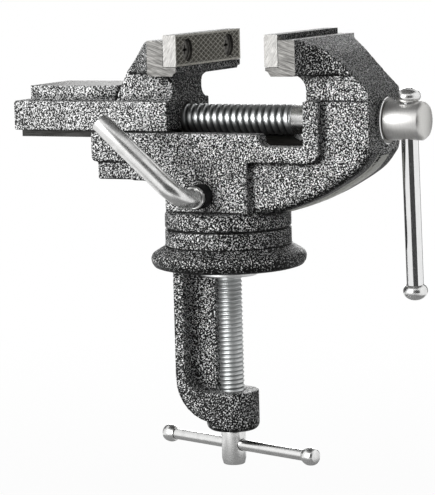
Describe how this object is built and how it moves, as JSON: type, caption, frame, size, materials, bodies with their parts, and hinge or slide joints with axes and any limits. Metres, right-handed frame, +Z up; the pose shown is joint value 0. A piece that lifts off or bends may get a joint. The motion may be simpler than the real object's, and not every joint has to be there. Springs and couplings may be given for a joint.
{
  "type": "clamp-on swivel bench vise",
  "caption": "Small cast vise that clamps to a bench edge, swivels on a round base and locks with a bent lever; a turned screw slides the moving jaw.",
  "frame": {"origin": "on the swivel axis, in the plane of the base disc's underside, which rests on the bench", "axes": "+X towards the main screw's handle, along the screw; +Z up along the swivel axis; -Y towards the lock lever"},
  "size_m": [0.2442, 0.1174, 0.2477],
  "materials": {
    "hammer_paint": "silver-grey hammered paint on grey iron",
    "bright_steel": "polished, plated",
    "satin_steel": "zinc plated, satin",
    "dark_steel": "hardened, dark",
    "black_oxide": "black oxide",
    "bronze": "machined"
  },
  "bodies": {
    "base": {"clamp_frame": "hammer_paint", "swivel_post": "satin_steel", "swivel_washer": "bright_steel", "swivel_retaining_screw": "black_oxide"},
    "clamp_pad": {"clamp_pad": "bright_steel", "pad_ring": "bright_steel"},
    "clamp_screw": {"clamp_screw": "satin_steel"},
    "clamp_handle": {"clamp_handle_bar": "bright_steel", "clamp_knob_near": "bright_steel", "clamp_knob_far": "bright_steel"},
    "vise_body": {"vise_body": "hammer_paint", "fixed_jaw_plate": "dark_steel", "fixed_jaw_plate_screw_1": "satin_steel", "fixed_jaw_plate_screw_2": "satin_steel", "brake_shoe": "bronze", "lock_spacer": "black_oxide"},
    "lock_lever": {"lock_stud": "satin_steel", "lock_collar": "satin_steel", "lock_lever": "satin_steel"},
    "main_screw": {"main_screw": "bright_steel", "outer_thrust_washer": "bright_steel", "inner_thrust_washer": "bright_steel", "split_pin": "bright_steel"},
    "main_handle": {"handle_bar": "bright_steel", "handle_ball_top": "bright_steel", "handle_ball_bottom": "bright_steel"},
    "moving_jaw": {"moving_jaw": "hammer_paint", "moving_jaw_plate": "dark_steel", "moving_jaw_plate_screw_1": "satin_steel", "moving_jaw_plate_screw_2": "satin_steel", "guide_plate": "dark_steel", "guide_screw_1": "satin_steel", "guide_screw_2": "satin_steel", "guide_screw_3": "satin_steel", "guide_screw_4": "satin_steel", "main_nut": "bronze", "nut_screw_1": "satin_steel", "nut_screw_2": "satin_steel"}
  },
  "joints": [
    {"name": "swivel", "type": "hinge", "parent": "base", "child": "vise_body", "pos_m": [0, 0, 0.023], "axis": [0, 0, 1], "continuous": true},
    {"name": "lock", "type": "hinge", "parent": "vise_body", "child": "lock_lever", "pos_m": [-0.0019, -0.0285, 0.0432], "axis": [0, -1, 0], "range_deg": [0, 120]},
    {"name": "screw_turn", "type": "hinge", "parent": "vise_body", "child": "main_screw", "pos_m": [0.0972, 0, 0.0842], "axis": [-1, 0, 0], "range_deg": [-1754, 4805]},
    {"name": "jaw_slide", "type": "slide", "parent": "vise_body", "child": "moving_jaw", "axis": [1, 0, 0], "range_m": [-0.0195, 0.0534]},
    {"name": "handle_slide", "type": "slide", "parent": "main_screw", "child": "main_handle", "axis": [0, -0.0541, 0.9985], "range_m": [0, 0.0808]},
    {"name": "clamp_slide", "type": "slide", "parent": "base", "child": "clamp_pad", "axis": [0, 0, -1], "range_m": [0, 0.048]},
    {"name": "clamp_turn", "type": "hinge", "parent": "clamp_pad", "child": "clamp_screw", "pos_m": [0, 0, -0.01], "axis": [0, 0, -1], "range_deg": [0, 6910]},
    {"name": "clamp_handle_slide", "type": "slide", "parent": "clamp_screw", "child": "clamp_handle", "axis": [0.9455, -0.3256, 0], "range_m": [-0.0483, 0.0396]}
  ],
  "couplings": [
    {"joint": "jaw_slide", "follows": "screw_turn", "m_per_rad": 0.00063662},
    {"joint": "clamp_slide", "follows": "clamp_turn", "m_per_rad": 0.00039789}
  ]
}
